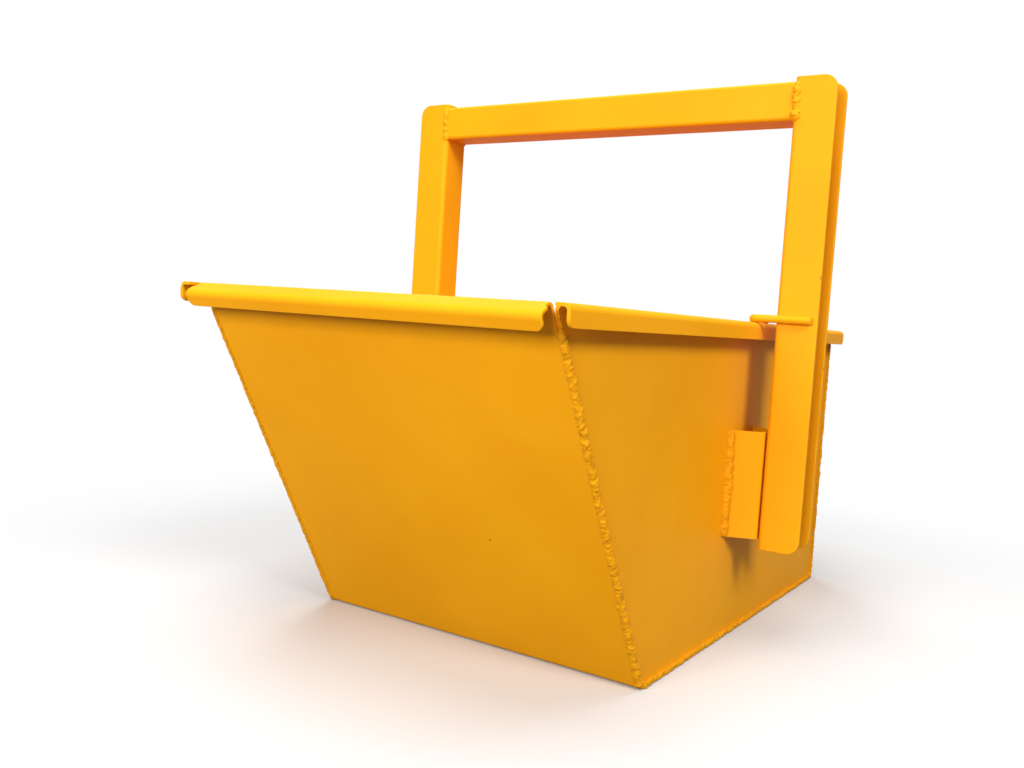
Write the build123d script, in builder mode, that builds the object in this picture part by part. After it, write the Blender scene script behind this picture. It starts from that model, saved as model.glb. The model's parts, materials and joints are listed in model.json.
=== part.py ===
from build123d import *
import os
from math import atan2, cos, degrees, radians, sin, tan

# A tipping hoist bucket in welded and painted sheet steel. A tub hangs by two brackets
# in a bail of folded channel and square tube, and pours over its leaning front panel.
# Millimetres, X across the tub, the pouring panel faces -Y, Z up. The origin lies on the
# underside of the floor, in the plane of the bail.

# Tub
tub_width = 386.0          # over the outer faces of the side panels
rim_height = 341.0         # top of the folded rim
floor_front = 213.5        # bail plane forward to the sharp front corner of the floor
floor_rear = 309.0         # bail plane back to the outer face of the rear panel
front_run = 190.0          # how far the front panel leans out over the rim height
sheet = 3.0                # tub plate
floor_bend = 7.0           # outer radius of the bends at the floor
rim_bend = 6.0             # outer radius of the bends of the rim
rim_width = 22.0           # inner face of a wall to the outer face of its fold
rim_drop = 18.0            # height of the side and rear folds
rim_corner = 7.0           # rounding of the lower corners of the folds
front_fold = 23.0          # width of the front fold, which is bent square to the leaning panel
front_skirt = 15.0         # and bent square again, this far down along the panel
rim_forward = 10.0         # side folds run on this far past the top of the front panel
corner_relief = 6.0        # and there stand this far clear of the side panel
seam_drop = 5.0            # corner seams stop this far below the bends of the rim
seam_round = 2.0           # rounding of the seam's outer edge

# Bail
bail_standoff = 33.0       # side panel to the web of an upright
upright_web = 40.0
upright_flange = 44.0
upright_plate = 4.0
upright_bend = 5.0         # outer radius of the folds
upright_corner = 14.0      # rounding of the flange corners
upright_foot = 102.0       # underside of the uprights above the floor
upright_length = 493.0
tube_height = 40.0
tube_wall = 3.0
tube_corner = 4.0
tube_drop = 4.5            # top of the cross tube below the top of the uprights
tube_weld = 5.0            # radius of the upright beads on the ends of the cross tube
tube_weld_short = 3.0      # the beads stop this far short of the tube's top and underside

# Pivots
bracket_depth = 31.5       # side panel to the outer face of a bracket
bracket_splay = 15.0       # the bracket's flanges spread this far towards the side panel
bracket_plate = 4.0
bracket_bend = 6.0
bracket_foot = 112.0
bracket_height = 114.0
bracket_weld = 5.0         # leg of the fillet weld
pivot_height = 169.0
pivot_setback = 5.0        # pivots lie behind the bail's middle, so that it leans on its stop
pin_diameter = 12.0
pin_running_fit = 0.08     # radial
pin_fixed_fit = 0.2        # radial, in the bracket and the washers
pin_head = 8.0
seat_margin = 0.5          # pin head and boss clear of the folds beside their flat seats
outer_washer = 2.5
washer_margin = 2.0        # outer washer clear of the flanges
boss_length = 8.0
end_play = 0.3             # between the boss and the outer washer
split_pin_diameter = 3.2
split_pin_fit = 0.2        # radial
split_pin_reach = 3.5      # beyond the pivot pin at each end
split_pin_eye = 3.0        # mean radius of the eye
pin_tail = 4.0             # pivot pin beyond the split pin
pin_chamfer = 1.0

# Stop rod and keeper on the right-hand rim
rod_diameter = 8.0
rod_bend = 8.0             # centre-line radius
rod_seat = 0.4             # between the rim's top and a rod
stop_play = 0.6            # stop rod to the front of the upright
stop_short = 5.0           # stop rod ends this far inside the flange's edge
stop_tail = 14.0           # inner run of the stop rod, behind the bail plane
stop_weld_width = 12.0
stop_weld_depth = 7.0      # below the axis of the rod
stop_weld_start = 5.0      # clear of the bend
keeper_play = 1.0          # keeper leg to the back of the upright
keeper_short = 1.0         # keeper leg ends this far inside the flange's edge
keeper_inset = 7.0         # keeper's axis inside the side panel
keeper_drop = 14.0         # keeper's axis below the rim's top
keeper_swing = 193.0       # from the modelled open position, over the top, to closed
clip_plate = 2.5
clip_width = 10.0
clip_pitch = 44.0
clip_play = 1.0            # along the rod
collar_diameter = 11.0
collar_length = 3.0

# Worked out for the tub
half_width = tub_width / 2
wall_in = half_width - sheet
rear_in = floor_rear - sheet
wall_top = rim_height - rim_bend
skirt_end = rim_height - rim_drop
lean = atan2(front_run, rim_height)
foot_in = -floor_front + sheet * (1 - sin(lean)) / cos(lean)


def front_in(z):
    """Where the inner face of the front panel is at height z."""
    return foot_in - (z - sheet) * tan(lean)


front_top = rim_height + rim_bend * (cos(lean) + sin(lean) - 1)
front_edge = Vector(front_in(front_top), front_top)
front_tip = front_edge - Vector(cos(lean), sin(lean)) * front_fold
front_middle = (front_edge + front_tip) / 2
front_end = front_tip + Vector(sin(lean), -cos(lean)) * front_skirt
rear_edge = Vector(rear_in, rim_height)
rear_tip = rear_edge + Vector(rim_width, 0)
rear_middle = (rear_edge + rear_tip) / 2
rear_end = Vector(rear_tip.X, skirt_end)
side_out = wall_in + rim_width
side_crown = (wall_in + side_out) / 2
side_fold_front = front_edge.X - rim_forward
seam_top = wall_top - seam_drop
inner_bend = floor_bend - sheet

# Worked out for the bail and its pivots
web_face = half_width + bail_standoff
flange_tip = web_face + upright_flange
upright_top = upright_foot + upright_length
tube_middle = upright_top - tube_drop - tube_height / 2
bracket_face = half_width + bracket_depth
bracket_root = upright_web / 2 + bracket_splay
splay = atan2(bracket_splay, bracket_depth)
pin_radius = pin_diameter / 2
head_radius = upright_web / 2 - bracket_bend - pivot_setback - seat_margin
boss_radius = upright_web / 2 - upright_bend - pivot_setback - seat_margin
washer_radius = upright_web / 2 - upright_plate - pivot_setback - washer_margin
boss_start = web_face + upright_plate
washer_start = boss_start + boss_length + end_play
split_pin_x = washer_start + outer_washer + split_pin_diameter / 2 + split_pin_fit
pin_end = split_pin_x + pin_tail
pivot = (pivot_setback, pivot_height)

# Worked out for the stop rod and the keeper
rod_radius = rod_diameter / 2
rod_z = rim_height + rod_seat + rod_radius
stop_y = -(upright_web / 2 + stop_play + rod_radius)
stop_tip = flange_tip - stop_short
keeper_x = wall_in - keeper_inset
keeper_z = rim_height - keeper_drop
keeper_y = upright_web / 2 + keeper_play + rod_radius
keeper_rise = rod_z - keeper_z
keeper_reach = flange_tip - keeper_short - keeper_x
clip_start = keeper_y + rod_bend + clip_play
keeper_tail = clip_start + clip_pitch + clip_width + clip_play

print(f"front panel leans {degrees(lean):.1f} degrees")

os.makedirs("parts", exist_ok=True)


def save(piece, name):
    """Label a finished piece and write it to its own file."""
    piece.part.label = name
    export_step(piece.part, f"parts/{name}.step")


def save_pair(piece, name):
    """Write a right-hand piece and its left-hand mirror image."""
    save(piece, f"{name}_right")
    with BuildPart() as left_piece:
        mirror(piece.part, about=Plane.YZ)
    save(left_piece, f"{name}_left")


def pivot_disc(start, length, radius, mode=Mode.ADD):
    """A disc about the pivot axis, from start outwards, in the part being built."""
    with BuildSketch(Plane.YZ.offset(start)) as disc:
        with Locations(pivot):
            Circle(radius)
    extrude(disc.sketch, amount=length, mode=mode)


# Front panel, floor and rear panel, bent from one sheet with its two folded rims
with BuildPart() as tub_sheet:
    with BuildSketch(Plane.YZ.offset(-wall_in)):
        with BuildLine():
            FilletPolyline(
                front_middle,
                front_edge,
                (foot_in, sheet),
                (rear_in, sheet),
                rear_edge,
                rear_middle,
                radius=[rim_bend, inner_bend, inner_bend, rim_bend],
            )
            offset(amount=sheet, side=Side.RIGHT)
        make_face()
    extrude(amount=2 * wall_in)
    # The outer halves of the two folds reach over the edges of the side panels
    with BuildSketch(Plane.YZ.offset(-half_width)):
        with BuildLine():
            FilletPolyline(front_middle, front_tip, front_end, radius=rim_bend)
            offset(amount=sheet, side=Side.LEFT)
        make_face()
        with BuildLine():
            FilletPolyline(rear_middle, rear_tip, rear_end, radius=rim_bend)
            offset(amount=sheet, side=Side.RIGHT)
        make_face()
    extrude(amount=tub_width)
    ends = edges().filter_by(lambda e: abs(e.length - sheet) < 0.01)
    fillet(ends.filter_by_position(Axis.Z, wall_top - rim_width, wall_top - sheet), rim_corner)
save(tub_sheet, "tub_sheet")

# Side panel with its folded rim
with BuildPart() as side_panel:
    with BuildSketch(Plane.YZ.offset(wall_in)):
        with BuildLine():
            outline = FilletPolyline(
                (front_in(wall_top), wall_top),
                (foot_in, sheet),
                (rear_in, sheet),
                (rear_in, wall_top),
                radius=inner_bend,
            )
            Line(outline @ 1, outline @ 0)
        make_face()
    extrude(amount=sheet)
    with BuildSketch(Plane.XZ.offset(-rear_in)):
        with BuildLine():
            inner_arc = CenterArc((wall_in + rim_bend, wall_top), rim_bend, 180, -90)
            outer_arc = CenterArc((side_out - rim_bend, wall_top), rim_bend, 90, -90)
            Line(inner_arc @ 1, outer_arc @ 0)
            Line(outer_arc @ 1, (side_out, skirt_end))
            offset(amount=sheet, side=Side.RIGHT)
        make_face()
    extrude(amount=rear_in - side_fold_front)
    with BuildSketch(Plane.XY.offset(wall_top)):
        with Locations((wall_in, side_fold_front)):
            relief_length = front_in(wall_top) - side_fold_front
            Rectangle(sheet + corner_relief, relief_length, align=(Align.MIN, Align.MIN))
    extrude(amount=rim_bend, mode=Mode.SUBTRACT)
    low_edges = edges().filter_by(Axis.X).filter_by_position(Axis.Z, skirt_end - sheet, skirt_end + sheet)
    fillet(low_edges, rim_corner)
save_pair(side_panel, "side_panel")

# Seam that fills the open corner between the side panel and the bent sheet
with BuildPart() as corner_weld:
    with BuildLine(Plane.YZ.offset(wall_in)) as seam_path:
        FilletPolyline(
            (front_in(seam_top), seam_top),
            (foot_in, sheet),
            (rear_in, sheet),
            (rear_in, seam_top),
            radius=inner_bend,
        )
    seam_start = Plane(seam_path.line @ 0, x_dir=(1, 0, 0), z_dir=seam_path.line % 0)
    with BuildSketch(seam_start):
        Rectangle(sheet, sheet, align=(Align.MIN, Align.MIN))
        fillet(vertices().sort_by(lambda v: v.X - v.Z)[-1], seam_round)
    sweep()
save_pair(corner_weld, "corner_weld")

# Channel bracket that carries the pivot, open towards the side panel
with BuildPart() as pivot_bracket:
    with BuildSketch(Plane.XY.offset(bracket_foot)):
        with BuildLine():
            FilletPolyline(
                (half_width, -bracket_root),
                (bracket_face, -upright_web / 2),
                (bracket_face, upright_web / 2),
                (half_width, bracket_root),
                radius=bracket_bend,
            )
            offset(amount=bracket_plate, side=Side.LEFT)
        make_face()
    extrude(amount=bracket_height)
    split(bisect_by=Plane.YZ.offset(half_width), keep=Keep.TOP)
    pivot_disc(bracket_face - bracket_plate, bracket_plate, pin_radius + pin_fixed_fit, Mode.SUBTRACT)
save_pair(pivot_bracket, "pivot_bracket")

# Upright fillet welds along the front and the back of the bracket
with BuildPart() as bracket_weld_pair:
    with BuildSketch(Plane.XY.offset(bracket_foot)):
        for facing in (-1, 1):
            root_y = facing * bracket_root
            with BuildLine():
                Polyline(
                    (half_width, root_y),
                    (half_width, root_y + facing * bracket_weld),
                    (half_width + bracket_weld * cos(splay), root_y - facing * bracket_weld * sin(splay)),
                    close=True,
                )
            make_face()
    extrude(amount=bracket_height)
save_pair(bracket_weld_pair, "bracket_weld")

# Pivot pin, its head captive inside the bracket
with BuildPart() as pivot_pin:
    head_face = bracket_face - bracket_plate
    pivot_disc(head_face - pin_head, pin_head, head_radius)
    pivot_disc(head_face, pin_end - head_face, pin_radius)
    chamfer(faces().sort_by(Axis.X)[-1].edges(), pin_chamfer)
    with Locations((split_pin_x, *pivot)):
        Cylinder(split_pin_diameter / 2 + split_pin_fit, pin_diameter, mode=Mode.SUBTRACT)
save_pair(pivot_pin, "pivot_pin")

# Thrust washer between the bracket and the upright
with BuildPart() as thrust_washer:
    thrust_length = web_face - bracket_face
    pivot_disc(bracket_face, thrust_length, washer_radius)
    pivot_disc(bracket_face, thrust_length, pin_radius + pin_fixed_fit, Mode.SUBTRACT)
save_pair(thrust_washer, "thrust_washer")

# Outer washer behind the split pin
with BuildPart() as outer_washer_disc:
    pivot_disc(washer_start, outer_washer, washer_radius)
    pivot_disc(washer_start, outer_washer, pin_radius + pin_fixed_fit, Mode.SUBTRACT)
save_pair(outer_washer_disc, "outer_washer")

# Split pin with its eye on top
with BuildPart() as split_pin:
    wire = split_pin_diameter / 2
    shank_top = pivot_height + pin_radius + split_pin_reach
    with BuildSketch(Plane.XY.offset(pivot_height - pin_radius - split_pin_reach)):
        with Locations((split_pin_x, pivot_setback)):
            Circle(wire)
    extrude(amount=2 * (pin_radius + split_pin_reach))
    with Locations((split_pin_x, pivot_setback, shank_top + split_pin_eye - wire / 2)):
        Torus(split_pin_eye, wire, rotation=(0, 90, 0))
save_pair(split_pin, "split_pin")

# Bail upright, a folded channel open outwards
with BuildPart() as bail_upright:
    with BuildSketch(Plane.XY.offset(upright_foot)):
        with BuildLine():
            FilletPolyline(
                (flange_tip, -upright_web / 2),
                (web_face, -upright_web / 2),
                (web_face, upright_web / 2),
                (flange_tip, upright_web / 2),
                radius=upright_bend,
            )
            offset(amount=upright_plate, side=Side.RIGHT)
        make_face()
    extrude(amount=upright_length)
    fillet(edges().filter_by(Axis.Y).group_by(Axis.X)[-1], upright_corner)
    pivot_disc(web_face, upright_plate, pin_radius + pin_running_fit, Mode.SUBTRACT)
save_pair(bail_upright, "bail_upright")

# Bearing boss welded to the web inside the upright
with BuildPart() as pivot_boss:
    pivot_disc(boss_start, boss_length, boss_radius)
    pivot_disc(boss_start, boss_length, pin_radius + pin_running_fit, Mode.SUBTRACT)
save_pair(pivot_boss, "pivot_boss")

# Cross tube butted between the uprights, flush with their front and back
with BuildPart() as cross_tube:
    with BuildSketch(Plane.YZ.offset(-web_face)):
        with Locations((0, tube_middle)):
            RectangleRounded(upright_web, tube_height, tube_corner)
            RectangleRounded(
                upright_web - 2 * tube_wall,
                tube_height - 2 * tube_wall,
                tube_corner - tube_wall,
                mode=Mode.SUBTRACT,
            )
    extrude(amount=2 * web_face)
save(cross_tube, "cross_tube")

# Upright beads on the front and the back of the tube's end
with BuildPart() as bail_weld:
    bead_length = tube_height - 2 * tube_weld_short
    with BuildSketch(Plane.XY.offset(tube_middle - bead_length / 2)):
        for facing in (-1, 1):
            with Locations((web_face, facing * (upright_web / 2 - tube_wall))):
                Circle(tube_weld)
        with Locations((boss_start, 0)):
            channel_room = upright_web - 2 * upright_plate
            Rectangle(upright_flange, channel_room, align=(Align.MIN, Align.CENTER), mode=Mode.SUBTRACT)
    extrude(amount=bead_length)
    add(bail_upright.part, mode=Mode.SUBTRACT)
    with BuildSketch(Plane.YZ):
        with Locations((0, tube_middle)):
            RectangleRounded(upright_web, tube_height, tube_corner)
    extrude(amount=web_face, mode=Mode.SUBTRACT)
save_pair(bail_weld, "bail_weld")

# Bent rod on the rim that stops the bail's upright at the front
with BuildPart() as stop_rod:
    with BuildLine() as stop_path:
        FilletPolyline(
            (side_crown, stop_tail, rod_z),
            (side_crown, stop_y, rod_z),
            (stop_tip, stop_y, rod_z),
            radius=rod_bend,
        )
    with BuildSketch(Plane(stop_path.line @ 0, z_dir=stop_path.line % 0)):
        Circle(rod_radius)
    sweep()
save(stop_rod, "stop_rod")

# Weld under the inner run of the stop rod
with BuildPart() as stop_weld:
    weld_front = stop_y + rod_bend + stop_weld_start
    with BuildSketch(Plane.XY.offset(rod_z - stop_weld_depth)):
        with Locations((side_crown, weld_front)):
            Rectangle(stop_weld_width, stop_tail - weld_front, align=(Align.CENTER, Align.MIN))
    extrude(amount=stop_weld_depth)
    add(side_panel.part, mode=Mode.SUBTRACT)
    add(stop_rod.part, mode=Mode.SUBTRACT)
save(stop_weld, "stop_rod_weld")

# Keeper rod, modelled open: it lies inside the tub with its leg pointing inwards
closed_to_open = radians(keeper_swing)
keeper_frame = Plane(
    (keeper_x, 0, keeper_z),
    x_dir=(cos(closed_to_open), 0, sin(closed_to_open)),
    z_dir=(-sin(closed_to_open), 0, cos(closed_to_open)),
)
with BuildPart() as keeper_rod:
    with BuildLine(keeper_frame) as keeper_path:
        FilletPolyline(
            (0, keeper_tail, 0),
            (0, keeper_y, 0),
            (0, keeper_y, keeper_rise),
            (keeper_reach, keeper_y, keeper_rise),
            radius=rod_bend,
        )
    with BuildSketch(Plane(keeper_path.line @ 0, z_dir=keeper_path.line % 0)):
        Circle(rod_radius)
    sweep()
save(keeper_rod, "keeper_rod")

# Collar welded to the end of the keeper's inner run
with BuildPart() as keeper_collar:
    with BuildSketch(Plane.XZ.offset(-keeper_tail)):
        with Locations((keeper_x, keeper_z)):
            Circle(collar_diameter / 2)
    extrude(amount=-collar_length)
save(keeper_collar, "keeper_collar")

# Two bent clips on the inside of the side panel, in which the keeper turns
clip_radius = rod_radius + pin_running_fit
clip_starts = {"front": clip_start, "rear": clip_start + clip_pitch}
for place, start in clip_starts.items():
    with BuildPart() as keeper_clip:
        with BuildSketch(Plane.XZ.offset(-start)):
            with BuildLine():
                bow = CenterArc((keeper_x, keeper_z), clip_radius, 270, -180)
                Line((wall_in, keeper_z - clip_radius), bow @ 0)
                Line(bow @ 1, (wall_in, keeper_z + clip_radius))
                offset(amount=clip_plate, side=Side.LEFT)
            make_face()
        extrude(amount=-clip_width)
    save(keeper_clip, f"keeper_clip_{place}")
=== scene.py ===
import json
import math

import bmesh
import bpy
from mathutils import Matrix, Vector


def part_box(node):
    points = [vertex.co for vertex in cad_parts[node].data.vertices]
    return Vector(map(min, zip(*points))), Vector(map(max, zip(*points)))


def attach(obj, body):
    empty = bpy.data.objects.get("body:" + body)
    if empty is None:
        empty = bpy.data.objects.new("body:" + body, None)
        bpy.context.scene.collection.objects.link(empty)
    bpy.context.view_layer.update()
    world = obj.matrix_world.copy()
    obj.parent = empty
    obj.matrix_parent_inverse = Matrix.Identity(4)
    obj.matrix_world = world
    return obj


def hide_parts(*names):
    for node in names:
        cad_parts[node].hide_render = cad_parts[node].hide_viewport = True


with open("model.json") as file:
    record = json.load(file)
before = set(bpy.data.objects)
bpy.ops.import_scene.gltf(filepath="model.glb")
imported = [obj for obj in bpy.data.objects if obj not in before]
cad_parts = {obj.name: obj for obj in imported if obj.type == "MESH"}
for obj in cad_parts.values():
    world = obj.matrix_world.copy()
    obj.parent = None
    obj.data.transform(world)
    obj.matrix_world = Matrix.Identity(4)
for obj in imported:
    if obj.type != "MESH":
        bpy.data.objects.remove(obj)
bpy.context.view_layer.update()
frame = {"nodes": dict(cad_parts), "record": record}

PAINT_SLOT = "yellow_paint"
ZINC_SLOT = "zinc_plate"
SIDES = {"right": 1, "left": -1}
FACINGS = (-1, 1)

# Camera, fitted to the photograph: pixels in its 1024 by 768 frame, metres, degrees, sensor in millimetres
IMAGE_WIDTH = 1024
IMAGE_HEIGHT = 768
FOCAL_PIXELS = 931.3
AXIS_PIXEL_X = 562.1
AXIS_PIXEL_Y = 380.8
CAMERA_PLACE = (0.5460, -0.9657, 0.3266)
CAMERA_AZIMUTH = 31.29
CAMERA_DOWN = 3.56
CAMERA_ROLL = 3.93
SENSOR_WIDTH = 36.0
NEAREST_SEEN = 0.01

# Room and lamps: places and sizes in metres, power in watts
ROOM_LIGHT = 0.13
FLOOR_REACH = 6.0
FLOOR_LEVEL = -0.0004
FLOOR_ROUGHNESS = 0.9
FADE_START = 0.33
FADE_END = 1.0
LAMPS = {
    "front_light": {"place": (0.1, -2.7, 0.95), "aim": (0, 0, 0.2), "spread": (1.6, 1.0), "power": 65},
    "right_light": {"place": (2.3, -1.2, 1.9), "aim": (0.2, 0, 0.25), "spread": (0.95, 0.95), "power": 64},
    "rear_light": {"place": (-1.8, 2.0, 1.5), "aim": (0, 0, 0.25), "spread": (1.4, 1.4), "power": 26},
    "top_light": {"place": (0.0, -0.3, 2.8), "aim": (0, 0, 0.3), "spread": (2.0, 2.0), "power": 61},
}

# Linear colours
WHITE = (1, 1, 1, 1)
PAINT_COLOUR = (0.87, 0.365, 0.004)
PAINT_LIGHT = (0.90, 0.385, 0.005)
PAINT_DEEP = (0.84, 0.34, 0.003)
# Lighter paint on eased edges: partly thin paint, partly a painted highlight where edges catch the light
PAINT_THIN_EDGE_HIGHLIGHT = (0.92, 0.43, 0.012)
# Painted shade: the colour weld beads darken towards, overall and in the hollows between lumps
PAINTED_SHADE_COLOUR = (0.42, 0.16, 0.003)
CHIP_COLOUR = (0.045, 0.03, 0.022)
DUST_COLOUR = (0.42, 0.22, 0.05)
ZINC_COLOUR = (0.60, 0.61, 0.63)
ZINC_DULL = (0.42, 0.42, 0.40)
FLOOR_COLOUR = (0.70, 0.70, 0.70)
EARTH_COLOUR = (0.18, 0.175, 0.17)

# Middle of every noise, and numbered sockets: colours of a mix node, floats of a random value
NOISE_MEAN = 0.5
MIX_SHARE, MIX_FIRST, MIX_SECOND, MIX_RESULT = 0, 6, 7, 2
RANDOM_LEAST, RANDOM_MOST, RANDOM_RESULT = 2, 3, 1

# Paint pattern: scales per metre, heights and depths in metres, the rest are shares
DRIFT_SCALE = 7.0
CLOUD_SCALE = 38.0
CLOUD_MOST = 0.5
# Shares of the painted highlight on eased edges
EDGE_HIGHLIGHT_LEAST = 0.15
EDGE_HIGHLIGHT_MOST = 0.6
CHIP_SCALE = 74.0
CHIP_PICK = 0.988
CHIP_LEAST = 0.045
CHIP_SPREAD = 0.055
RAGGED_SCALE = 900.0
RAGGED_SHARE = 0.05
EDGE_CHIP_SCALE = 120.0
EDGE_CHIP_PICK = 0.715
SCUFF_UP = (260.0, 260.0, 9.0)
SCUFF_ALONG = (14.0, 9.0, 330.0)
SCUFF_PATCH_SCALE = 11.0
SCUFF_PALE = 0.12
DUST_HEIGHT = 0.05
DUST_SCALE = 60.0
DUST_MOST = 0.07
PEEL_SCALE = 420.0
PEEL_HEIGHT = 0.00004
SAG_SCALE = 46.0
SAG_HEIGHT = 0.00022
CHIP_DEPTH = 0.00006
PAINT_BUMP = 0.55
PAINT_ROUGHNESS = 0.52
CLOUD_ROUGHER = 0.08
SCUFF_ROUGHER = 0.10
DUST_ROUGHER = 0.3
CHIP_ROUGHER = 0.25
PAINT_SPECULAR = 0.1

# Zinc pattern, in the same units
DULL_SCALE = 150.0
GRAIN_STRETCH = (2600.0, 300.0, 300.0)
GRAIN_HEIGHT = 0.00002
ZINC_BUMP = 0.4
ZINC_ROUGHNESS = 0.26
DULL_ROUGHER = 0.18
GRAIN_ROUGHER = 0.10

# Sheet steel
PLATE = 0.003
EDGE_EASE = 0.0007
HARDWARE_EASE = 0.0003
EASE_STEPS = 2
ROUND_PROFILE = 0.5
NORMAL_WEIGHT = 80
SHARP_ANGLE = math.radians(28)
FLAT_ANGLE = math.radians(0.5)
MERGE = 1e-6

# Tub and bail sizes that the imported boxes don't give
FLOOR_FRONT = 0.2135
FRONT_RUN = 0.190
UPRIGHT_WEB = 0.040

# Weld beads: radius and pitch in metres, the rest are shares; one of them darkens the whole bead as painted
# shade
SEAM_BEAD = {"Radius": 0.0039, "Pitch": 0.0078, "Ripple": 0.05, "Sunk": 0.36, "PaintedShade": 0.16}
SEAM_LUMP = {"right": 0.72, "left": 0.50}
SEAM_SEED = 3.1
BRACKET_BEAD = {"Radius": 0.0057, "Pitch": 0.0060, "Ripple": 0.05, "Lump": 0.50, "Sunk": 0.25, "PaintedShade": 0.10}
BRACKET_SEED = 7.7
BAIL_BEAD = {"Pitch": 0.0085, "Ripple": 0.08, "Lump": 1.10, "Sunk": 0.50, "PaintedShade": 0.00}
BAIL_RADIUS = {"right": 0.0062, "left": 0.0048}
BAIL_SEED = 11.3
ROD_BEAD = {"Radius": 0.0030, "Pitch": 0.0042, "Ripple": 0.12, "Lump": 0.60, "Sunk": 0.60, "PaintedShade": 0.10}
ROD_SEED = 5.9
BEAD_STEP = 0.0007
BEAD_SIDES = 24
GROUND = 0.0002

# Bead surface: scales per metre, the rest are shares
WANDER_SCALE = 70.0
WANDER = 1.8
CRESCENT = 0.55
SCALLOP_MEAN = 0.62
LUMP_SCALE = 135.0
PIT_SCALE = 430.0
PIT_SHARE = 0.9
CROWN_FOOT = -0.85
CROWN_TOP = 0.15
# Painted shade in the hollows between lumps: where it starts and ends on the lumps, and how dark
HOLLOW_DEEP = 0.25
HOLLOW_LIP = 0.60
HOLLOW_PAINTED_SHADE = 0.35

# Bead places in metres, tilts of their outward way, and girths as shares of the radius
SEAM_SHORT = 0.008
SEAM_SET_BACK = 0.001
SEAM_CORNER = 0.004
SEAM_THIN = 0.006
SEAM_TIP = 0.45
SEAM_NECK = 0.95
SEAM_FOOT = 1.1
SEAM_FLOOR_FRONT = 1.35
SEAM_FLOOR_REAR = 1.3
TAPER = 0.04
TAPER_GIRTH = 0.9
BRACKET_CLEAR = 0.0004
BRACKET_BESIDE = 0.0030
BRACKET_LIFT = 0.002
BRACKET_SHORT = 0.001
BRACKET_SPLAY = 0.3
BRACKET_TIP = 0.7
BAIL_BEYOND = 0.0034
BAIL_INSET = 0.0030
ROD_LIFT = 0.0008
ROD_BESIDE = 0.0040
ROD_STEEP = 1.2
ROD_TIP = 0.35

# Steps of a bead on the bail: rise from the cross tube's lower or upper face, tilt and girth
BAIL_FOOT = ((-0.0020, -0.3, 0.45), (0.0010, -0.1, 0.95), (0.0045, 0.0, 1.10), (0.0100, 0.0, 0.82))
BAIL_TOP = ((-0.0080, 0.0, 0.95), (-0.0010, 0.2, 0.50))

# Spatter in metres, and grains per square metre
GRAIN_RADIUS = 0.0006
GRAIN_LEAST = 0.35
GRAIN_MOST = 1.25
GRAIN_DENSITY = 5000.0
SPATTER_NEAR = 0.007
SPATTER_FAR = 0.022
SPATTER_SEED = {"right": 5, "left": 3}


class Signal:
    """One output of a node tree, with arithmetic that adds the nodes it needs."""

    def __init__(self, tree, socket):
        self.tree = tree
        self.socket = socket

    @classmethod
    def make(cls, tree, kind, settings=None, inputs=None, out=0):
        """Add a node of that kind: its settings first, then its socket values or links."""
        node = tree.nodes.new(kind)
        for name, value in (settings or {}).items():
            setattr(node, name, value)
        feed(tree, node, inputs or {})
        return cls(tree, node.outputs[out])

    def math(self, operation, first, second=0.0):
        return Signal.make(self.tree, "ShaderNodeMath", {"operation": operation}, {0: first, 1: second})

    def vector(self, operation, values, out="Vector"):
        values = {0: self, **values}
        return Signal.make(self.tree, "ShaderNodeVectorMath", {"operation": operation}, values, out)

    def __add__(self, other):
        return self.math("ADD", self, other)

    __radd__ = __add__

    def __sub__(self, other):
        return self.math("SUBTRACT", self, other)

    def __rsub__(self, other):
        return self.math("SUBTRACT", other, self)

    def __mul__(self, other):
        return self.math("MULTIPLY", self, other)

    __rmul__ = __mul__

    def __truediv__(self, other):
        return self.math("DIVIDE", self, other)

    def __rtruediv__(self, other):
        return self.math("DIVIDE", other, self)

    def __abs__(self):
        return self.math("ABSOLUTE", self)

    def __gt__(self, other):
        return self.math("GREATER_THAN", self, other)

    def __lt__(self, other):
        return self.math("LESS_THAN", self, other)

    def most(self, other):
        return self.math("MAXIMUM", self, other)

    def sine(self):
        return self.math("SINE", self)

    def ramp(self, low, high, bottom=0.0, top=1.0):
        """Go smoothly from bottom to top while this goes from low to high."""
        limits = {"Value": self, "From Min": low, "From Max": high, "To Min": bottom, "To Max": top}
        return Signal.make(self.tree, "ShaderNodeMapRange", {"interpolation_type": "SMOOTHSTEP"}, limits)

    def noise(self, scale, detail=2, roughness=0.5):
        """Noise at this place, from 0 to 1 about a half."""
        values = {"Vector": self, "Scale": scale, "Detail": detail, "Roughness": roughness}
        return Signal.make(self.tree, "ShaderNodeTexNoise", {}, values, "Fac")

    def stretched(self, scales):
        """Noise at this place, with a scale of its own along each axis."""
        return self.vector("MULTIPLY", {1: scales}).noise(1.0)

    def axis(self, name):
        return Signal.make(self.tree, "ShaderNodeSeparateXYZ", inputs={0: self}, out=name)


def feed(tree, node, inputs):
    """Link signals to a node's sockets, or set them."""
    for key, value in inputs.items():
        socket = node.inputs[key]
        if isinstance(value, Signal):
            tree.links.new(value.socket, socket)
        else:
            socket.default_value = value


def mixed(tree, share, first, second):
    """A colour between two colours."""
    ends = [end if isinstance(end, Signal) else (*end, 1) for end in (first, second)]
    values = {MIX_SHARE: share, MIX_FIRST: ends[0], MIX_SECOND: ends[1]}
    return Signal.make(tree, "ShaderNodeMix", {"data_type": "RGBA"}, values, MIX_RESULT)


def marked(tree, name):
    """A number that the mesh carries."""
    return Signal.make(tree, "ShaderNodeAttribute", {"attribute_name": name}, out="Fac")


def bumped(tree, strength, height):
    """A surface direction that follows a height in metres."""
    values = {"Strength": strength, "Distance": 1.0, "Height": height}
    return Signal.make(tree, "ShaderNodeBump", inputs=values)


def new_material(name):
    """A node material, its tree, its shader and the place on the object."""
    material = bpy.data.materials.new(name)
    material.use_nodes = True
    tree = material.node_tree
    place = Signal.make(tree, "ShaderNodeTexCoord", out="Object")
    return material, tree, tree.nodes["Principled BSDF"], place


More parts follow.
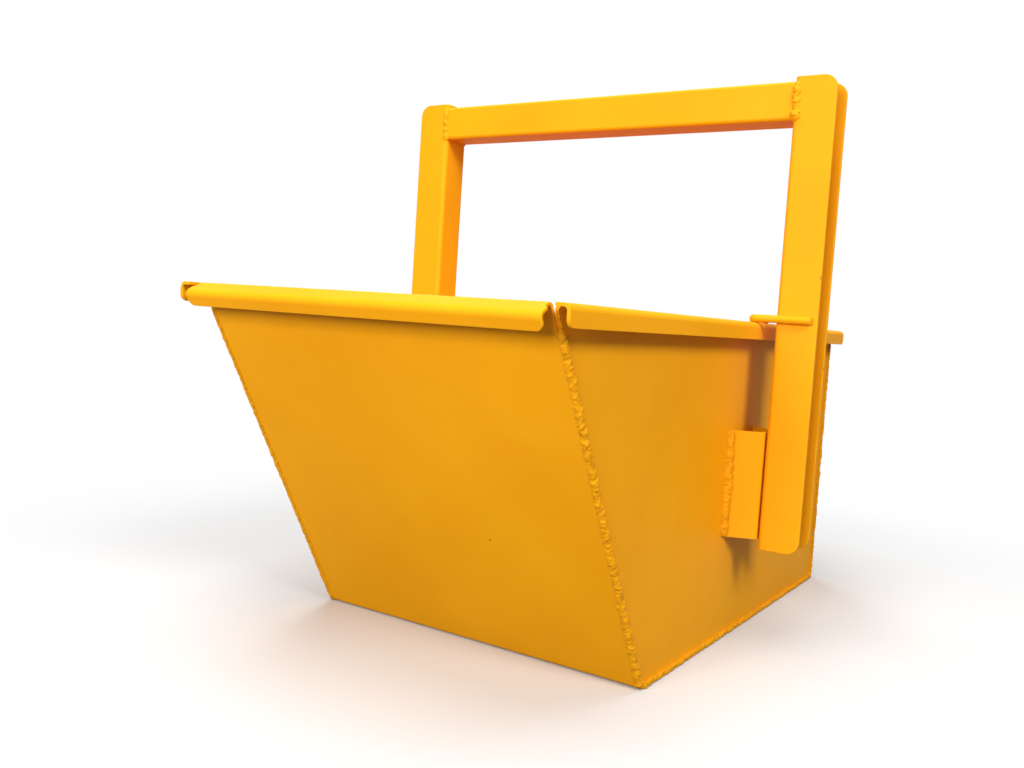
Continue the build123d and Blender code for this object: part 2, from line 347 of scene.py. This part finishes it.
def paint_chips(tree, place, edge):
    """1 where the paint is gone: a few round chips, and small ones along the plate edges."""
    cell = {"Vector": place, "Scale": CHIP_SCALE}
    spot = Signal.make(tree, "ShaderNodeTexVoronoi", {}, cell, "Distance")
    lot = Signal.make(tree, "ShaderNodeTexVoronoi", {}, cell, "Color")
    pick = Signal.make(tree, "ShaderNodeSeparateColor", inputs={0: lot}, out="Red")
    width = Signal.make(tree, "ShaderNodeSeparateColor", inputs={0: lot}, out="Green")
    ragged = place.noise(RAGGED_SCALE)
    chip = (pick > CHIP_PICK) * ((spot + ragged * RAGGED_SHARE) < (CHIP_LEAST + width * CHIP_SPREAD))
    edge_chip = edge * (place.noise(EDGE_CHIP_SCALE, detail=3, roughness=0.6) > EDGE_CHIP_PICK)
    return chip.most(edge_chip)


def satin_paint():
    """Satin yellow paint on plate: slow drift, orange peel, thin paint with a painted highlight on the edges,
    painted shade on weld beads, a few chips and scuffs.
    """
    material, tree, shader, place = new_material("satin_yellow_paint")
    edge = marked(tree, "edge")
    tone = marked(tree, "tone")

    drift = place.noise(DRIFT_SCALE, detail=3)
    cloud = place.noise(CLOUD_SCALE, detail=4, roughness=0.6)
    # Painted highlight: eased edges lightened in cloudy patches, as thin paint that catches the light
    thin = edge * cloud.ramp(0.35, 0.7, bottom=EDGE_HIGHLIGHT_LEAST, top=EDGE_HIGHLIGHT_MOST)
    colour = mixed(tree, drift.ramp(0.3, 0.7), PAINT_DEEP, PAINT_LIGHT)
    colour = mixed(tree, cloud.ramp(0.25, 0.75, top=CLOUD_MOST), colour, PAINT_COLOUR)
    colour = mixed(tree, thin, colour, PAINT_THIN_EDGE_HIGHLIGHT)
    # Painted shade on weld beads, from the shade each bead carries
    colour = mixed(tree, tone, colour, PAINTED_SHADE_COLOUR)

    worn = paint_chips(tree, place, edge)
    scuff_up = place.stretched(SCUFF_UP).ramp(0.66, 0.74)
    scuff_along = place.stretched(SCUFF_ALONG).ramp(0.68, 0.76)
    scuff = scuff_up.most(scuff_along) * place.noise(SCUFF_PATCH_SCALE).ramp(0.5, 0.62)
    low = place.axis("Z").ramp(0.0, DUST_HEIGHT, bottom=1.0, top=0.0)
    dust = low * place.noise(DUST_SCALE, detail=4, roughness=0.65).ramp(0.42, 0.75, top=DUST_MOST)
    colour = mixed(tree, scuff * SCUFF_PALE, colour, PAINT_LIGHT)
    colour = mixed(tree, dust, colour, DUST_COLOUR)
    colour = mixed(tree, worn, colour, CHIP_COLOUR)

    roughness = PAINT_ROUGHNESS + cloud * CLOUD_ROUGHER + scuff * SCUFF_ROUGHER
    roughness = roughness + dust * DUST_ROUGHER + worn * CHIP_ROUGHER
    peel = place.noise(PEEL_SCALE, roughness=0.45)
    sag = place.noise(SAG_SCALE)
    relief = peel * PEEL_HEIGHT + sag * SAG_HEIGHT - worn * CHIP_DEPTH
    feed(tree, shader, {"Base Color": colour, "Roughness": roughness, "Specular IOR Level": PAINT_SPECULAR})
    feed(tree, shader, {"Normal": bumped(tree, PAINT_BUMP, relief)})
    return material


def zinc_plating():
    """Bright zinc on turned steel: fine grain, dull patches."""
    material, tree, shader, place = new_material("bright_zinc")
    dull = place.noise(DULL_SCALE, detail=3, roughness=0.6)
    grain = place.stretched(GRAIN_STRETCH)
    colour = mixed(tree, dull.ramp(0.4, 0.7), ZINC_COLOUR, ZINC_DULL)
    roughness = ZINC_ROUGHNESS + dull * DULL_ROUGHER + grain * GRAIN_ROUGHER
    feed(tree, shader, {"Base Color": colour, "Roughness": roughness, "Metallic": 1.0})
    feed(tree, shader, {"Normal": bumped(tree, ZINC_BUMP, grain * GRAIN_HEIGHT)})
    return material


def in_scene(name, data):
    """A new object of the scene with that mesh, lamp or camera."""
    thing = bpy.data.objects.new(name, data)
    bpy.context.scene.collection.objects.link(thing)
    return thing


def finished(mesh, name, body, material, slot, node=None):
    """Put a plain mesh in the scene as a piece, which may stand for a CAD node."""
    mesh.materials.clear()
    mesh.materials.append(material)
    piece = in_scene(name, mesh)
    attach(piece, body)
    if node:
        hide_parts(node)


def plain_mesh(source, name):
    """The evaluated mesh of an object, which is then gone with its modifiers."""
    graph = bpy.context.evaluated_depsgraph_get()
    mesh = bpy.data.meshes.new_from_object(source.evaluated_get(graph))
    mesh.name = name
    bpy.data.objects.remove(source)
    return mesh


def eased(node, ease):
    """A copy of a CAD node with its sharp edges rounded, and its rounded faces marked."""
    shape = bmesh.new()
    shape.from_mesh(frame["nodes"][node].data)
    mark = shape.faces.layers.float.new("edge")
    bmesh.ops.remove_doubles(shape, verts=shape.verts, dist=MERGE)
    bmesh.ops.dissolve_limit(shape, angle_limit=FLAT_ANGLE, verts=shape.verts, edges=shape.edges)
    sharp = [e for e in shape.edges if len(e.link_faces) == 2 and e.calc_face_angle(0) > SHARP_ANGLE]
    rounds = bmesh.ops.bevel(
        shape,
        geom=sharp,
        offset=ease,
        offset_type="OFFSET",
        segments=EASE_STEPS,
        profile=ROUND_PROFILE,
        affect="EDGES",
        clamp_overlap=True,
    )
    for face in rounds["faces"]:
        face[mark] = 1.0
    for face in shape.faces:
        face.smooth = True
    mesh = bpy.data.meshes.new(node)
    shape.to_mesh(mesh)
    shape.free()
    source = in_scene("eased_source", mesh)
    weighted = source.modifiers.new("weighted", "WEIGHTED_NORMAL")
    weighted.weight = NORMAL_WEIGHT
    return plain_mesh(source, node)


def add_plates(paint, zinc):
    """Every piece but the welds: a copy of its CAD node with eased edges."""
    record = frame["record"]
    slots = {row["node"]: row["material_slot"] for row in record["subparts"]}
    for body, nodes in record["behaviour"]["bodies"].items():
        for node in nodes:
            if "_weld" in node:
                continue
            plated = slots[node] == ZINC_SLOT
            mesh = eased(node, HARDWARE_EASE if plated else EDGE_EASE)
            finished(mesh, f"{node}.eased", body, zinc if plated else paint, slots[node], node)


def new_tree(name, sizes, kind):
    """A geometry tree with named sizes and a paint, a maker of its nodes, and what it is given."""
    tree = bpy.data.node_groups.new(name, "GeometryNodeTree")
    tree.interface.new_socket("Geometry", in_out="INPUT", socket_type="NodeSocketGeometry")
    for size in sizes:
        tree.interface.new_socket(size, in_out="INPUT", socket_type=kind)
    tree.interface.new_socket("Paint", in_out="INPUT", socket_type="NodeSocketMaterial")
    tree.interface.new_socket("Geometry", in_out="OUTPUT", socket_type="NodeSocketGeometry")
    entry = tree.nodes.new("NodeGroupInput")
    given = {socket.name: Signal(tree, socket) for socket in entry.outputs if socket.name}

    def make(kind, settings=None, inputs=None, out=0):
        return Signal.make(tree, kind, settings, inputs, out)

    return tree, make, given


def painted_end(tree, make, shape, paint):
    """End a geometry tree with its shape made real and painted."""
    shape = make("GeometryNodeRealizeInstances", inputs={0: shape})
    shape = make("GeometryNodeSetMaterial", inputs={"Geometry": shape, "Material": paint})
    tree.links.new(shape.socket, tree.nodes.new("NodeGroupOutput").inputs[0])


def grown(tree, mesh, name, inputs):
    """The plain mesh that a geometry tree makes of a mesh."""
    source = in_scene("grown_source", mesh)
    modifier = source.modifiers.new("grown", "NODES")
    modifier.node_group = tree
    keys = {item.name: item.identifier for item in tree.interface.items_tree if item.in_out == "INPUT"}
    for key, value in inputs.items():
        modifier[keys[key]] = value
    return plain_mesh(source, name)


def bead_tree():
    """Node tree for a rippled weld bead along a polyline that carries outward and girth, with its painted
    shade stored for the paint.
    """
    sizes = ("Radius", "Pitch", "Ripple", "Lump", "Sunk", "PaintedShade", "Seed")
    tree, make, given = new_tree("weld_bead", sizes, "NodeSocketFloat")

    def stored(name, data_type):
        return make("GeometryNodeInputNamedAttribute", {"data_type": data_type}, {"Name": name})

    def store(shape, name, data_type, value):
        values = {"Geometry": shape, "Name": name, "Value": value}
        return make("GeometryNodeStoreNamedAttribute", {"data_type": data_type, "domain": "POINT"}, values)

    here = make("GeometryNodeInputPosition")
    line = make("GeometryNodeMeshToCurve", inputs={0: given["Geometry"]})
    line = make("GeometryNodeResampleCurve", {"mode": "LENGTH"}, {"Curve": line, "Length": BEAD_STEP})
    line = store(line, "centre", "FLOAT_VECTOR", here)
    line = store(line, "run", "FLOAT", make("GeometryNodeSplineParameter", out="Length"))
    round_bead = {"Resolution": BEAD_SIDES, "Radius": given["Radius"]}
    ring = make("GeometryNodeCurvePrimitiveCircle", inputs=round_bead)
    bead = make("GeometryNodeCurveToMesh", inputs={"Curve": line, "Profile Curve": ring, "Fill Caps": True})

    centre = stored("centre", "FLOAT_VECTOR")
    run = stored("run", "FLOAT")
    arm = here.vector("SUBTRACT", {1: centre})
    rise = arm.vector("NORMALIZE", {}).vector("DOT_PRODUCT", {1: stored("outward", "FLOAT_VECTOR")}, "Value")

    along = make("ShaderNodeCombineXYZ", inputs={0: run, 1: given["Seed"]})
    beat = run / given["Pitch"] + (1 - rise) * CRESCENT + along.noise(WANDER_SCALE) * WANDER
    scallop = abs((beat * math.pi).sine())
    apart = here.vector("ADD", {1: make("ShaderNodeCombineXYZ", inputs={1: given["Seed"]})})
    lumps = apart.noise(LUMP_SCALE, detail=1) + (apart.noise(PIT_SCALE) - NOISE_MEAN) * PIT_SHARE
    crown = rise.ramp(CROWN_FOOT, CROWN_TOP)
    section = given["Sunk"] + crown * (1 - given["Sunk"])
    swell = given["Ripple"] * (scallop - SCALLOP_MEAN) + given["Lump"] * (lumps - NOISE_MEAN)
    spread = stored("girth", "FLOAT") * section * (1 + crown * swell)
    moved = centre.vector("ADD", {1: arm.vector("SCALE", {"Scale": spread})})
    level = moved.axis("Z").most(GROUND)
    moved = make("ShaderNodeCombineXYZ", inputs={0: moved.axis("X"), 1: moved.axis("Y"), 2: level})

    # Painted shade: the bead darkened as a whole, and more in the hollows between its lumps
    hollow_painted_shade = lumps.ramp(HOLLOW_DEEP, HOLLOW_LIP, bottom=1.0, top=0.0)
    tone = given["PaintedShade"] + hollow_painted_shade * (1 - given["PaintedShade"]) * HOLLOW_PAINTED_SHADE
    bead = store(bead, "tone", "FLOAT", tone)
    bead = make("GeometryNodeSetPosition", inputs={"Geometry": bead, "Position": moved})
    bead = make("GeometryNodeSetShadeSmooth", inputs={"Geometry": bead})
    painted_end(tree, make, bead, given["Paint"])
    return tree


def lay_beads(tree, node, body, paths, paint, sizes):
    """Weld beads along paths of (place, outward, girth), made one plain mesh."""
    places = []
    edges = []
    for path in paths:
        first = len(places)
        places.extend(path)
        edges.extend((first + i, first + i + 1) for i in range(len(path) - 1))
    mesh = bpy.data.meshes.new(node)
    mesh.from_pydata([place for place, _, _ in places], edges, [])
    outward = mesh.attributes.new("outward", "FLOAT_VECTOR", "POINT")
    for index, (_, way, _) in enumerate(places):
        outward.data[index].vector = Vector(way).normalized()
    girth = mesh.attributes.new("girth", "FLOAT", "POINT")
    for index, (_, _, width) in enumerate(places):
        girth.data[index].value = width
    bead = grown(tree, mesh, node, {**sizes, "Paint": paint})
    for spare in ("outward", "girth", "centre", "run"):
        bead.attributes.remove(bead.attributes[spare])
    finished(bead, f"{node}.bead", body, paint, PAINT_SLOT, node)


def tapered(start, end, outward, tip):
    """A straight path with thin ends."""
    shares = ((0.0, tip), (TAPER, TAPER_GIRTH), (0.5, 1.0), (1 - TAPER, TAPER_GIRTH), (1.0, tip))
    return [(Vector(start).lerp(Vector(end), share), outward, width) for share, width in shares]


def seam_path(side):
    """Down the front corner, along the floor and up the rear corner of one side."""
    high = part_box("corner_weld_right")[1]
    half = PLATE / 2
    lean = math.atan2(FRONT_RUN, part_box("side_panel_right")[1].z)
    x = side * (high.x - half)
    front = Vector((side, -math.cos(lean), -math.sin(lean)))
    floor = Vector((side, 0, -1))
    rear = Vector((side, 1, 0))
    rise = Vector((0, -math.sin(lean), math.cos(lean)))
    front_foot = Vector((x, half * (1 - math.sin(lean)) / math.cos(lean) - FLOOR_FRONT, half))
    front_foot += Vector((0, math.cos(lean), math.sin(lean))) * SEAM_SET_BACK
    front_top = front_foot + rise * ((high.z - SEAM_SHORT - half) / math.cos(lean))
    rear_foot = Vector((x, high.y - half, half))
    rear_top = Vector((x, high.y - half, high.z))
    back = Vector((0, SEAM_CORNER, 0))
    up = Vector((0, 0, 1))
    return [
        (front_top, front, SEAM_TIP),
        (front_top - rise * SEAM_THIN, front, SEAM_NECK),
        (front_foot + rise * SEAM_CORNER, front, SEAM_FOOT),
        (front_foot + back, floor, SEAM_FLOOR_FRONT),
        (rear_foot - back, floor, SEAM_FLOOR_REAR),
        (rear_foot + up * SEAM_CORNER, rear, SEAM_FOOT),
        (rear_top - up * SEAM_THIN, rear, SEAM_NECK),
        (rear_top, rear, SEAM_TIP),
    ]


def bracket_paths(side):
    """Wide fillets down both edges of a pivot bracket, on the side panel."""
    low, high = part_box("pivot_bracket_right")
    x = side * (low.x + BRACKET_CLEAR)
    paths = []
    for facing in FACINGS:
        y = facing * (high.y + BRACKET_BESIDE)
        foot = (x, y, low.z + BRACKET_LIFT)
        top = (x, y, high.z - BRACKET_SHORT)
        paths.append(tapered(foot, top, (side, facing * BRACKET_SPLAY, 0), BRACKET_TIP))
    return paths


def bail_paths(side):
    """Beads up the front and back of one end of the cross tube, each with a blob at its foot."""
    low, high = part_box("cross_tube")
    x = side * (high.x + BAIL_BEYOND)
    steps = [(low.z + rise, tilt, girth) for rise, tilt, girth in BAIL_FOOT]
    steps += [(high.z + rise, tilt, girth) for rise, tilt, girth in BAIL_TOP]
    paths = []
    for facing in FACINGS:
        y = facing * (UPRIGHT_WEB / 2 - BAIL_INSET)
        paths.append([((x, y, z), (0, facing, tilt), girth) for z, tilt, girth in steps])
    return paths


def rod_paths():
    """Beads on both sides of the stop rod's foot, on the rim."""
    low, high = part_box("stop_rod_weld")
    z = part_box("side_panel_right")[1].z + ROD_LIFT
    paths = []
    for facing in FACINGS:
        x = (low.x + high.x) / 2 + facing * ROD_BESIDE
        paths.append(tapered((x, low.y, z), (x, high.y, z), (facing, 0, ROD_STEEP), ROD_TIP))
    return paths


def add_welds(paint):
    """All the weld beads."""
    tree = bead_tree()
    for hand, side in SIDES.items():
        seam = {**SEAM_BEAD, "Lump": SEAM_LUMP[hand], "Seed": SEAM_SEED * side}
        bracket = {**BRACKET_BEAD, "Seed": BRACKET_SEED * side}
        bail = {**BAIL_BEAD, "Radius": BAIL_RADIUS[hand], "Seed": BAIL_SEED * side}
        lay_beads(tree, f"corner_weld_{hand}", "tub", [seam_path(side)], paint, seam)
        lay_beads(tree, f"bracket_weld_{hand}", "tub", bracket_paths(side), paint, bracket)
        lay_beads(tree, f"bail_weld_{hand}", "bail", bail_paths(side), paint, bail)
    lay_beads(tree, "stop_rod_weld", "tub", rod_paths(), paint, {**ROD_BEAD, "Seed": ROD_SEED})


def spatter_tree():
    """Node tree that sows small round grains on a strip of plate."""
    tree, make, given = new_tree("weld_spatter", ("Seed",), "NodeSocketInt")
    sown = {"Mesh": given["Geometry"], "Density": GRAIN_DENSITY, "Seed": given["Seed"]}
    points = make("GeometryNodeDistributePointsOnFaces", inputs=sown)
    grain = make("GeometryNodeMeshIcoSphere", inputs={"Radius": GRAIN_RADIUS, "Subdivisions": 1})
    grain = make("GeometryNodeSetShadeSmooth", inputs={"Geometry": grain})
    girths = {RANDOM_LEAST: GRAIN_LEAST, RANDOM_MOST: GRAIN_MOST, "Seed": given["Seed"]}
    girth = make("FunctionNodeRandomValue", inputs=girths, out=RANDOM_RESULT)
    placed = {"Points": points, "Instance": grain, "Scale": girth}
    grains = make("GeometryNodeInstanceOnPoints", inputs=placed)
    painted_end(tree, make, grains, given["Paint"])
    return tree


def spatter_strips(side):
    """Strips of plate beside the bracket welds and the front corner seam, each by its four corners."""
    low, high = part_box("pivot_bracket_right")
    x = side * low.x
    strips = []
    for facing in FACINGS:
        near = facing * (high.y + SPATTER_NEAR)
        far = facing * (high.y + SPATTER_FAR)
        strips.append([(x, near, low.z), (x, far, low.z), (x, far, high.z), (x, near, high.z)])
    top, foot = [place for place, _, _ in seam_path(side)[1:3]]
    shift = Vector((x - top.x, SPATTER_NEAR, 0))
    inward = Vector((0, SPATTER_FAR, 0))
    strips.append([top + shift, foot + shift, foot + shift + inward, top + shift + inward])
    return strips


def add_spatter(paint):
    """Grains of spatter on both side panels."""
    tree = spatter_tree()
    for hand, side in SIDES.items():
        strips = spatter_strips(side)
        corners = [corner for strip in strips for corner in strip]
        faces = [tuple(range(4 * i, 4 * i + 4)) for i in range(len(strips))]
        name = f"spatter_{hand}"
        mesh = bpy.data.meshes.new(name)
        mesh.from_pydata(corners, [], faces)
        grains = grown(tree, mesh, name, {"Seed": SPATTER_SEED[hand], "Paint": paint})
        finished(grains, name, "tub", paint, PAINT_SLOT)


def shown_ray(tree):
    """1 for what the eye sees directly, in gloss or through glass."""
    rays = Signal.make(tree, "ShaderNodeLightPath", out="Is Camera Ray")
    outputs = rays.socket.node.outputs
    glossy = Signal(tree, outputs["Is Glossy Ray"])
    return rays.most(glossy).most(Signal(tree, outputs["Is Transmission Ray"]))


def pale_floor():
    """A pale ground that keeps the shadow and fades into the white backdrop."""
    material, tree, shader, place = new_material("pale_floor")
    shown = shown_ray(tree)
    colour = mixed(tree, shown, EARTH_COLOUR, FLOOR_COLOUR)
    feed(tree, shader, {"Base Color": colour, "Roughness": FLOOR_ROUGHNESS, "Specular IOR Level": 0.0})
    far = place.vector("LENGTH", {}, "Value").ramp(FADE_START, FADE_END)
    ground = Signal(tree, shader.outputs[0])
    white = Signal.make(tree, "ShaderNodeEmission", inputs={"Color": WHITE, "Strength": 1.0})
    blend = Signal.make(tree, "ShaderNodeMixShader", inputs={0: shown * far, 1: ground, 2: white})
    tree.links.new(blend.socket, tree.nodes["Material Output"].inputs["Surface"])
    mesh = bpy.data.meshes.new("floor")
    turns = ((-1, -1), (1, -1), (1, 1), (-1, 1))
    corners = [(x * FLOOR_REACH, y * FLOOR_REACH, FLOOR_LEVEL) for x, y in turns]
    mesh.from_pydata(corners, [], [(0, 1, 2, 3)])
    mesh.materials.append(material)
    in_scene("floor", mesh)


def white_room():
    """A white world that lights the object softly."""
    world = bpy.data.worlds.new("white_room")
    world.use_nodes = True
    tree = world.node_tree
    level = ROOM_LIGHT + shown_ray(tree) * (1 - ROOM_LIGHT)
    feed(tree, tree.nodes["Background"], {"Color": WHITE, "Strength": level})
    bpy.context.scene.world = world


def soft_lamp(name, place, aim, spread, power):
    """A large soft lamp turned to a point."""
    data = bpy.data.lights.new(name, "AREA")
    data.shape = "RECTANGLE"
    data.size, data.size_y = spread
    data.energy = power
    way = Vector(aim) - Vector(place)
    turn = way.to_track_quat("-Z", "Y").to_matrix().to_4x4()
    in_scene(name, data).matrix_world = Matrix.Translation(place) @ turn


def place_camera():
    """Set the camera at the photograph's viewpoint."""
    azimuth = math.radians(CAMERA_AZIMUTH)
    down = math.radians(CAMERA_DOWN)
    roll = math.radians(CAMERA_ROLL)
    ahead = Vector((-math.sin(azimuth) * math.cos(down), math.cos(azimuth) * math.cos(down), -math.sin(down)))
    level = Vector((math.cos(azimuth), math.sin(azimuth), 0))
    upright = level.cross(ahead)
    right = level * math.cos(roll) + upright * math.sin(roll)
    up = upright * math.cos(roll) - level * math.sin(roll)
    data = bpy.data.cameras.new("photo_camera")
    data.sensor_width = SENSOR_WIDTH
    data.lens = SENSOR_WIDTH * FOCAL_PIXELS / IMAGE_WIDTH
    data.shift_x = (IMAGE_WIDTH / 2 - AXIS_PIXEL_X) / IMAGE_WIDTH
    data.shift_y = (AXIS_PIXEL_Y - IMAGE_HEIGHT / 2) / IMAGE_WIDTH
    data.clip_start = NEAREST_SEEN
    camera = in_scene("photo_camera", data)
    turn = Matrix((right, up, -ahead)).transposed().to_4x4()
    camera.matrix_world = Matrix.Translation(CAMERA_PLACE) @ turn
    bpy.context.scene.camera = camera


paint = satin_paint()
zinc = zinc_plating()
add_plates(paint, zinc)
add_welds(paint)
add_spatter(paint)

pale_floor()
white_room()
for lamp, setting in LAMPS.items():
    soft_lamp(lamp, **setting)
bpy.context.scene.view_settings.view_transform = "Standard"
place_camera()
